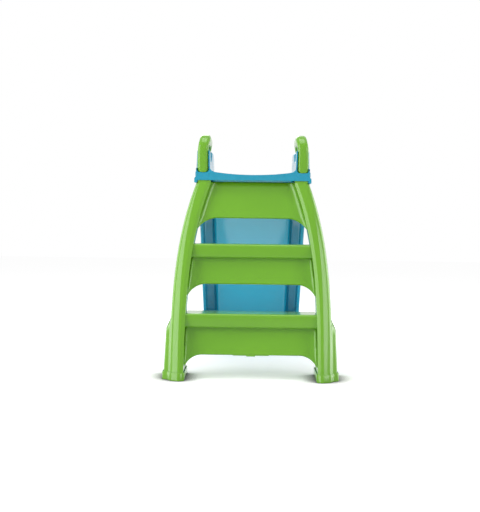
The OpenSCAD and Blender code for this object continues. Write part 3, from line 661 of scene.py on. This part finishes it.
deckZ, skin = chute["deckZ"], chute["skin"]
rad = math.radians
deckFront = chute["deckRear"] + chute["deckLen"]
crestEnd = deckFront + chute["crest"] * math.sin(rad(chute["slope"]))
crestDrop = chute["crest"] * (1 - math.cos(rad(chute["slope"])))
runoutDrop = chute["runout"] * (1 - math.cos(rad(chute["slope"])))
slopeEnd = crestEnd + (deckZ - chute["exitZ"] - crestDrop - runoutDrop) / math.tan(rad(chute["slope"]))
runoutEnd = slopeEnd + chute["runout"] * math.sin(rad(chute["slope"]))
finRear = chute["deckRear"] + chute["tailLen"]
finFront = finRear + chute["finLen"]
tailFoot, tailTop = chute["innerHalf"] + 4, chute["innerHalf"] + 5
seatZ = deckZ + chute["seatUp"]


def bed(y):
    if y <= deckFront:
        return deckZ
    if y <= crestEnd:
        return deckZ - chute["crest"] + math.sqrt(chute["crest"] ** 2 - (y - deckFront) ** 2)
    if y <= slopeEnd:
        return deckZ - crestDrop - (y - crestEnd) * math.tan(rad(chute["slope"]))
    if y <= runoutEnd:
        return chute["exitZ"] + chute["runout"] - math.sqrt(chute["runout"] ** 2 - (runoutEnd - y) ** 2)
    return chute["exitZ"]


def bedAngle(y):
    if y <= deckFront:
        return 0
    if y <= crestEnd:
        return math.asin((y - deckFront) / chute["crest"])
    if y <= slopeEnd:
        return rad(chute["slope"])
    if y <= runoutEnd:
        return math.asin((runoutEnd - y) / chute["runout"])
    return 0


def skirtZ(y):
    return max(0, bed(y) - mix(chute["skirtDrop"], chute["exitZ"], ease(deckFront, slopeEnd, y)))


def railTop(y):
    half = chute["dipHalf"]
    dip = chute["dipDepth"] * (1 - ease(half * 0.35, half, abs(y - finRear - chute["dipAt"])))
    rail = bed(y) + chute["railH"] * (1 - 0.25 * ease(slopeEnd, chute["exitY"], y))
    return mix(chute["finTop"] - dip, rail, ease(finFront, finFront + chute["finFade"], y))


def outerX(y):
    return chute["outerHalf"] - chute["narrowing"] * ease(deckFront, 0, y)


def innerFoot(y):
    return mix(tailFoot, chute["innerHalf"] - 3, ease(deckFront - 40, deckFront + 120, y))


def innerTop(y):
    return mix(tailTop, chute["innerHalf"] + 1, ease(deckFront - 40, deckFront + 120, y))


def bedCurve(foot, zb):
    # the bed from its fillet to the middle, with its shallow dish
    r, dish = chute["fillet"], chute["dish"]
    points = [(foot - r, zb + dish)]
    return points + [(x, zb + dish * (x / (foot - r)) ** 2.1) for x in steps((foot - r) * 0.92, 0, 14)]


def chuteHalf(y):
    ox, z0, zt = outerX(y), skirtZ(y), railTop(y) - skin / 2
    zb, top, foot = bed(y) - skin / 2 / math.cos(bedAngle(y)), innerTop(y), innerFoot(y)
    c, r, out, band = chute["railCorner"], chute["fillet"], chute["skirtOut"], chute["skirtBand"]
    over = ox - mix(chute["finLean"], 0, ease(finFront, finFront + chute["finFade"], y))
    path = [(ox + out, z0), (ox + out, z0 + band * 0.5), (ox + out, z0 + band - 1),
            (ox + out - 0.6, z0 + band + 0.8), (ox + 0.8, z0 + band + 4), (ox, z0 + band + 6)]
    path += [(mix(ox, over, t), mix(z0 + band + 6, zt - c, t)) for t in (0.25, 0.5, 0.75)]
    path += arc(over - c, zt - c, c, 0, 90, 7) + [(mix(over - c, top + c, t), zt) for t in (0.33, 0.66)]
    path += arc(top + c, zt - c, c, 90, 180, 7)
    path += [(mix(top, foot, t), mix(zt - c, zb + chute["dish"] + r, t)) for t in (0.25, 0.5, 0.75)]
    path += arc(foot - r, zb + chute["dish"] + r, r, 0, -90, 9)[:-1]
    return path + bedCurve(foot, zb)


def whole(half):
    return half + [(-x, z) for x, z in half[-2::-1]]


bodyStations = chain((finRear, finFront - 26, 40), (finFront - 26, finFront + 124, 46),
                     (finFront + 124, slopeEnd - 20, 24), (slopeEnd - 20, runoutEnd, 30),
                     (runoutEnd, chute["exitY"] - skin / 2, 5))
bodyRows = [[(x, y, max(0, z)) for x, z in whole(chuteHalf(y))] for y in bodyStations]
bodyShell = Pile().grid(bodyRows, flip=True).build("chuteShell")
thicken(bodyShell, skin)
soften(bodyShell, 0.9, 2, 35)
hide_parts("chute")

tail = Pile()
r, zb = chute["fillet"], deckZ - skin / 2
wallPath = [(tailTop, chute["finTop"] - 6), (tailTop - 0.2, mix(chute["finTop"], zb, 0.3)),
            (tailTop - 0.6, mix(chute["finTop"], zb, 0.6))]
wallPath += arc(tailFoot - r, zb + chute["dish"] + r, r, 0, -90, 9)[:-1] + bedCurve(tailFoot, zb)
tailYs = steps(chute["deckRear"] + 1.3, finRear + 0.6, 4)
tail.grid([[(x, y, z) for x, z in whole(wallPath)] for y in tailYs], flip=True)
for side in (-1, 1):
    o, z0 = chute["outerHalf"], deckZ - chute["skirtDrop"]
    seat = [(tailFoot, seatZ + 14)] + arc(tailFoot + 8, seatZ + 8 - skin / 2, 8, 180, 270, 7)
    seat += arc(o - 8, seatZ + 8 - skin / 2, 8, 270, 360, 7) + [(o, seatZ + 12)]
    edge = [(o, seatZ + 11), (o, z0 + chute["skirtBand"] + 6), (o + 0.8, z0 + chute["skirtBand"] + 4),
            (o + chute["skirtOut"] - 0.6, z0 + chute["skirtBand"] + 0.8),
            (o + chute["skirtOut"], z0 + chute["skirtBand"] - 1), (o + chute["skirtOut"], z0)]
    for path in (seat, edge):
        tail.grid([[(side * x, y, z) for x, z in path] for y in tailYs])
tailShell = soften(thicken(tail.build("platformTail"), skin), 0.8, 2, 35)

# the rear flange closes the deck and the hollows under the loops
flange = Pile()
low, z0, o = deckZ - chute["fasciaDrop"], deckZ - chute["skirtDrop"], chute["outerHalf"]
half = [(x, z + skin / 2) for x, z in reversed(bedCurve(tailFoot, zb))]
half += arc(tailFoot - r, deckZ + chute["dish"] + r, r - 1, -90, 0, 9)[1:]
half += [(tailFoot + 0.4, seatZ + 11), (tailFoot + 2, seatZ + 5), (tailFoot + 4.6, seatZ + 1.6),
         (tailFoot + 9, seatZ - 1), (o - 9, seatZ - 1), (o - 3.4, seatZ + 1.8), (o - 1.8, seatZ + 5),
         (o, seatZ + 9), (o + skin / 2, z0 + chute["skirtBand"] + 6),
         (o + skin / 2 + 0.6, z0 + chute["skirtBand"] + 4.6),
         (o + skin / 2 + chute["skirtOut"] - 0.5, z0 + chute["skirtBand"] + 1),
         (o + skin / 2 + chute["skirtOut"], z0 + chute["skirtBand"] - 1),
         (o + skin / 2 + chute["skirtOut"], z0), (o - skin / 2, z0), (o - skin / 2 - 0.2, low)]
flange.prism(half + [(-x, z) for x, z in half[:0:-1]], "y", chute["deckRear"], chute["deckRear"] + skin)
flangePiece = soften(outward(flange.build("rearFlange")), 1.2, 3, 40)

# the exit's front edge turns down to the floor
exitPlate = Pile()
exitBack = chute["exitY"] - chute["exitEdge"]
section = [(x, max(0, z)) for x, z in offsetPath(whole(chuteHalf(exitBack)), skin * 0.42)]
foot = outerX(chute["exitY"]) - 8
section += [(-foot, 0.0), (-foot, 6.5), (-foot + 1.5, 8.0), (foot - 1.5, 8.0), (foot, 6.5), (foot, 0.0)]
exitPlate.prism(section, "y", exitBack, chute["exitY"] - 0.2)
exitPiece = soften(outward(exitPlate.build("exitEdge")), 0.9, 2, 40)

# bosses for the hinge pins, one in each wall
bosses, bossR = Pile(), chute["bossR"]
turns = [math.tau * i / roundSides for i in range(roundSides)]
for side in (-1, 1):
    rows = []
    for x in steps(tailFoot - 17, hub["inner"] - 0.3, 14):
        inRound = clamp01((x - (tailFoot - r)) / r)
        roof = deckZ + chute["dish"] + r - r * math.sqrt(max(0, 1 - inRound ** 2)) - skin * 0.6
        if x > tailFoot - 0.5:
            roof = 1e6
        rows.append([(side * x, ladder["hinge"][0] + bossR * math.cos(t),
                      min(roof, ladder["hinge"][1] + bossR * math.sin(t))) for t in turns])
    bosses.grid(rows, ring=True, ends=True)
    bosses.turned([(hub["outer"] + 0.3, bossR), (o - 0.4, bossR)], ladder["hinge"], side, roundSides)
bossPiece = soften(outward(bosses.build("hingeBosses")), 0.5, 2, 50)

for piece in (bodyShell, tailShell, flangePiece, exitPiece, bossPiece):
    dress(piece, bluePlastic, "chute_body")

print("slide: grip loops")

loop = {"thick": 25.0, "rise": 42.0, "len": 168.0, "bend": 34.0, "dip": 2.0, "play": 0.4, "lean": 6.6,
        "round": 10.0}
loopTop = chute["finTop"] + loop["rise"]
loopMid = loopTop - loop["thick"] / 2
gripY = chute["deckRear"] + loop["thick"] / 2
gripHalf = (chute["outerHalf"] - tailTop - skin) / 2 - loop["play"]


def gripX(z):
    return (tailTop + chute["outerHalf"]) / 2 - loop["lean"] * ease(chute["finTop"] - 8, loopTop, z)


def gripWide(z):
    return gripHalf - 5 * max(0, 1 - (z - seatZ) / 6.2) ** 2


def buildLoop(side, word):
    frontBend = loopMid - loop["dip"] - chute["finTop"] - 0.3 - 1.5
    far = gripY + loop["len"]
    path = [(gripY, seatZ + h, 90) for h in (0.3, 0.8, 1.5, 2.5, 3.8, 5.2, 6.5)]
    path += [(gripY, z, 90) for z in steps(seatZ + 12, loopMid - loop["bend"], 8)]
    path += [(gripY + loop["bend"] + loop["bend"] * math.cos(rad(a)), loopMid - loop["bend"]
              + loop["bend"] * math.sin(rad(a)), a - 90) for a in steps(174, 90, 14)]
    a0, b0 = path[-1][0], far - frontBend
    path += [(mix(a0, b0, t), mix(loopMid, loopMid - loop["dip"], ease(0, 1, t)), 0)
             for t in steps(0.08, 0.92, 10)]
    path += [(b0 + frontBend * math.cos(rad(a)), loopMid - loop["dip"] - frontBend
              + frontBend * math.sin(rad(a)), a - 90) for a in steps(90, 0, 14)]
    path += [(far, chute["finTop"] + 0.3, -90)]
    rows = []
    for y, z, turn in path:
        w, h, c = gripWide(z), loop["thick"] / 2, loop["round"]
        c = min(c, w - 1)
        outline = arc(w - c, h - c, c, 0, 90, 8) + arc(c - w, h - c, c, 90, 180, 8) \
            + arc(c - w, c - h, c, 180, 270, 8) + arc(w - c, c - h, c, 270, 360, 8)
        up, fore = math.cos(rad(turn)), -math.sin(rad(turn))
        rows.append([(side * (gripX(z) + p), y + fore * q, z + up * q) for p, q in outline])
    bar = outward(Pile().grid(rows, ring=True, ends=True).build(word + "GripBar"))
    soften(bar, 1.0, 3, 50)
    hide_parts(word + "_grip_loop")
    dress(bar, greenPlastic, "chute_body")


for side, word in ((-1, "left"), (1, "right")):
    buildLoop(side, word)

print("slide: pins, locks and screws")

lock = {"r": 6.0, "flange": 8.6, "stem": 4.0, "proud": 2.0, "dish": 14.0, "travel": 7.0,
        "coil": 5.6, "wire": 0.45, "turns": 3, "coilSteps": 24, "clear": 1.3, "bore": 6.4, "boreHalf": 6.0}


def buildLock(side, word):
    start = hub["earIn"] + 4
    flange = chute["outerHalf"] - (skin + chute["finLean"]) / 2 - lock["clear"]
    tip = chute["outerHalf"] + skin / 2 + lock["proud"]
    stem = [(start, lock["stem"] - 0.6), (start + 0.6, lock["stem"]), (flange - 2, lock["stem"])]
    stem += [(flange - 2, lock["flange"] - 0.4), (flange - 1.6, lock["flange"]),
             (flange - 0.4, lock["flange"]), (flange, lock["flange"] - 0.4)]
    stemPiece = outward(Pile().turned(stem, lockAt, side, roundSides).build(word + "LockStem"))
    # the button's face is dished for a finger
    face = [(flange, lock["r"]), (tip - 0.6, lock["r"]), (tip, lock["r"] - 0.7)]
    face += [(tip - 1 + lock["dish"] - math.sqrt(lock["dish"] ** 2 - r ** 2), r)
             for r in (5, 4, 3, 2, 1, 0.3)]
    button = outward(Pile().turned(face, lockAt, side, roundSides).build(word + "LockButton"))
    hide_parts(word + "_lock_button")
    for piece in (stemPiece, button):
        dress(piece, greenPlastic, word + "_button_body")
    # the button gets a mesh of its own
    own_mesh(button)
    near, far = hub["earOut"] + lock["wire"] + 0.1, flange - 2 - lock["wire"] - 0.1
    rows, count = [], lock["coilSteps"] * lock["turns"]
    for i in range(count + 1):
        a, x = math.tau * i / lock["coilSteps"], mix(near, far, i / count)
        wire = arc(0, 0, lock["wire"], 0, 324, 9)
        rows.append([(side * (x + q), lockAt[0] + (lock["coil"] + p) * math.cos(a),
                      lockAt[1] + (lock["coil"] + p) * math.sin(a)) for p, q in wire])
    spring = outward(Pile().grid(rows, ring=True, ends=True).build(word + "LockSpring"))
    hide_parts(word + "_lock_spring")
    dress(spring, springSteel, "ladder_body")
    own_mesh(spring)


def boreForLock(shell, side):
    # the button comes out through a round hole in the chute's outer wall
    reach = [(chute["outerHalf"] + t * lock["boreHalf"], lock["bore"]) for t in (-1, 1)]
    cutter = outward(Pile().turned(reach, lockAt, side, roundSides).build("lockCutter"))
    cut = shell.modifiers.new("lockHole", "BOOLEAN")
    cut.operation, cut.solver, cut.object = "DIFFERENCE", "EXACT", cutter
    solid = shell.evaluated_get(bpy.context.evaluated_depsgraph_get())
    baked = bpy.data.meshes.new_from_object(solid)
    for mod in list(shell.modifiers):
        shell.modifiers.remove(mod)
    shell.data = baked
    bpy.data.objects.remove(cutter)


for side, word in ((-1, "left"), (1, "right")):
    boreForLock(bodyShell, side)
    buildLock(side, word)

smallParts = {"hinge_pin": (bluePlastic, 0.6), "loop_screws": (screwSteel, 0.15),
              "step_screws": (screwSteel, 0.15)}
for word in ("left", "right"):
    for part, (material, width) in smallParts.items():
        node = nodes[word + "_" + part]
        node.data.materials.clear()
        node.data.materials.append(material)
        cleanNode(word + "_" + part, width)

print("slide: floor, light and camera")

studio = {"worldLight": 0.42, "floorColour": 0.85, "floorHalf": 9000.0, "liftNear": 0.35, "liftFar": 0.62,
          "contactReach": 0.055, "contactDark": 0.12}
# each lamp: place, aim, size and power
lamps = {
    "keySoftbox": ((-2.0, -1.55, 1.3), (0, -0.3, 0.35), 1.9, 34.0),
    "fillSoftbox": ((2.0, -1.55, 1.3), (0, -0.3, 0.35), 1.1, 12.0),
    "overheadSoftbox": ((0.0, -0.6, 2.7), (0, -0.2, 0.3), 1.6, 20.0),
    "leftSoftbox": ((-2.2, 0.9, 0.8), (0, -0.2, 0.4), 1.6, 12.0),
    "rightSoftbox": ((2.2, 0.7, 0.8), (0, -0.2, 0.4), 1.6, 21.0),
    "chuteSideSoftbox": ((-0.5, 2.5, 1.9), (0, 0.2, 0.3), 1.5, 24.0),
    "bounceCard": ((0.01, -0.02, 0.02), (0.01, -0.02, 1), 0.33, 0.45),
}


def seenOrMirrored(tree):
    # 1 where the camera, a mirror image or clear plastic looks at it
    path = tree.nodes.new("ShaderNodeLightPath")
    total = path.outputs["Is Camera Ray"]
    for name in ("Is Glossy Ray", "Is Transmission Ray"):
        both = tree.nodes.new("ShaderNodeMath")
        both.operation = "MAXIMUM"
        tree.links.new(total, both.inputs[0])
        tree.links.new(path.outputs[name], both.inputs[1])
        total = both.outputs["Value"]
    return total


def buildWorld():
    world = bpy.data.worlds.new("paleStudio")
    bpy.context.scene.world = world
    world.use_nodes = True
    tree = world.node_tree
    tree.nodes.clear()
    light = tree.nodes.new("ShaderNodeBackground")
    light.inputs["Strength"].default_value = studio["worldLight"]
    white = tree.nodes.new("ShaderNodeBackground")
    white.inputs["Strength"].default_value = 1.0
    choose = tree.nodes.new("ShaderNodeMixShader")
    out = tree.nodes.new("ShaderNodeOutputWorld")
    for node in (light, white):
        node.inputs["Color"].default_value = (1, 1, 1, 1)
    tree.links.new(seenOrMirrored(tree), choose.inputs["Fac"])
    tree.links.new(light.outputs["Background"], choose.inputs[1])
    tree.links.new(white.outputs["Background"], choose.inputs[2])
    tree.links.new(choose.outputs["Shader"], out.inputs["Surface"])


def buildFloor():
    n = Shader("paleFloor")
    level = studio["floorColour"]
    matt = n.add("ShaderNodeBsdfDiffuse")
    lift = n.add("ShaderNodeEmission", Color=(1, 1, 1, 1))
    # a painted contact shadow: ambient occlusion darkens the floor's colour and its glow where a foot stands
    # on the floor
    near = n.add("ShaderNodeAmbientOcclusion", Distance=studio["contactReach"], samples=8)
    dark = n.spread(near.outputs["AO"], 0.5, 1.0, studio["contactDark"], 1.0)
    shadowedFloorColour = n.add("ShaderNodeMix", data_type="RGBA", blend_type="MULTIPLY", Factor=1.0)
    shadowedFloorColour.inputs[6].default_value = (level, level, level, 1)
    n.join(dark, shadowedFloorColour.inputs[7])
    n.join(shadowedFloorColour.outputs[2], matt.inputs["Color"])
    # the floor's glow is weaker near the object and stronger far off
    away = n.add("ShaderNodeVectorMath", operation="LENGTH")
    n.join(n.add("ShaderNodeTexCoord").outputs["Object"], away.inputs[0])
    scale = n.add("ShaderNodeMath", operation="MULTIPLY")
    n.join(n.spread(away.outputs["Value"], 0.5, 1.8, studio["liftNear"], studio["liftFar"]), scale.inputs[1])
    shaded = n.add("ShaderNodeMath", operation="MULTIPLY")
    n.join(scale.outputs["Value"], shaded.inputs[0])
    n.join(dark, shaded.inputs[1])
    both = n.add("ShaderNodeAddShader")
    n.join(seenOrMirrored(n.tree), scale.inputs[0])
    n.join(shaded.outputs["Value"], lift.inputs["Strength"])
    n.join(matt.outputs["BSDF"], both.inputs[0])
    n.join(lift.outputs["Emission"], both.inputs[1])
    n.join(both.outputs["Shader"], n.out.inputs["Surface"])
    span = steps(-studio["floorHalf"], studio["floorHalf"], 2)
    ground = Pile().grid([[(x, y, 0) for x in span] for y in span])
    floor = ground.build("studioFloor")
    floor.data.materials.append(n.material)


def areaLamp(name, place, aim, size, power):
    data = bpy.data.lights.new(name, "AREA")
    data.shape = "DISK"
    data.size = size
    data.energy = power
    lamp = bpy.data.objects.new(name, data)
    lamp.location = place
    lamp.rotation_euler = (Vector(aim) - Vector(place)).to_track_quat("-Z", "Y").to_euler()
    lamp.visible_camera = False
    bpy.context.scene.collection.objects.link(lamp)


buildWorld()
buildFloor()
for name, values in lamps.items():
    areaLamp(name, *values)

view = {"lens": 78.05, "place": (0.0, -3.49, 0.4405), "pitch": 1.858, "yaw": 0.613, "roll": 0.7,
        "sensor": 36.0, "clipEnd": 60.0}
cameraData = bpy.data.cameras.new("camera")
cameraData.lens = view["lens"]
cameraData.sensor_width = view["sensor"]
cameraData.clip_end = view["clipEnd"]
camera = bpy.data.objects.new("camera", cameraData)
turned = Matrix.Rotation(math.radians(view["yaw"]), 4, "Z") \
    @ Matrix.Rotation(math.radians(90 - view["pitch"]), 4, "X") \
    @ Matrix.Rotation(math.radians(view["roll"]), 4, "Z")
camera.matrix_world = Matrix.Translation(Vector(view["place"])) @ turned
bpy.context.scene.collection.objects.link(camera)
bpy.context.scene.camera = camera
bpy.context.scene.view_settings.view_transform = "Standard"
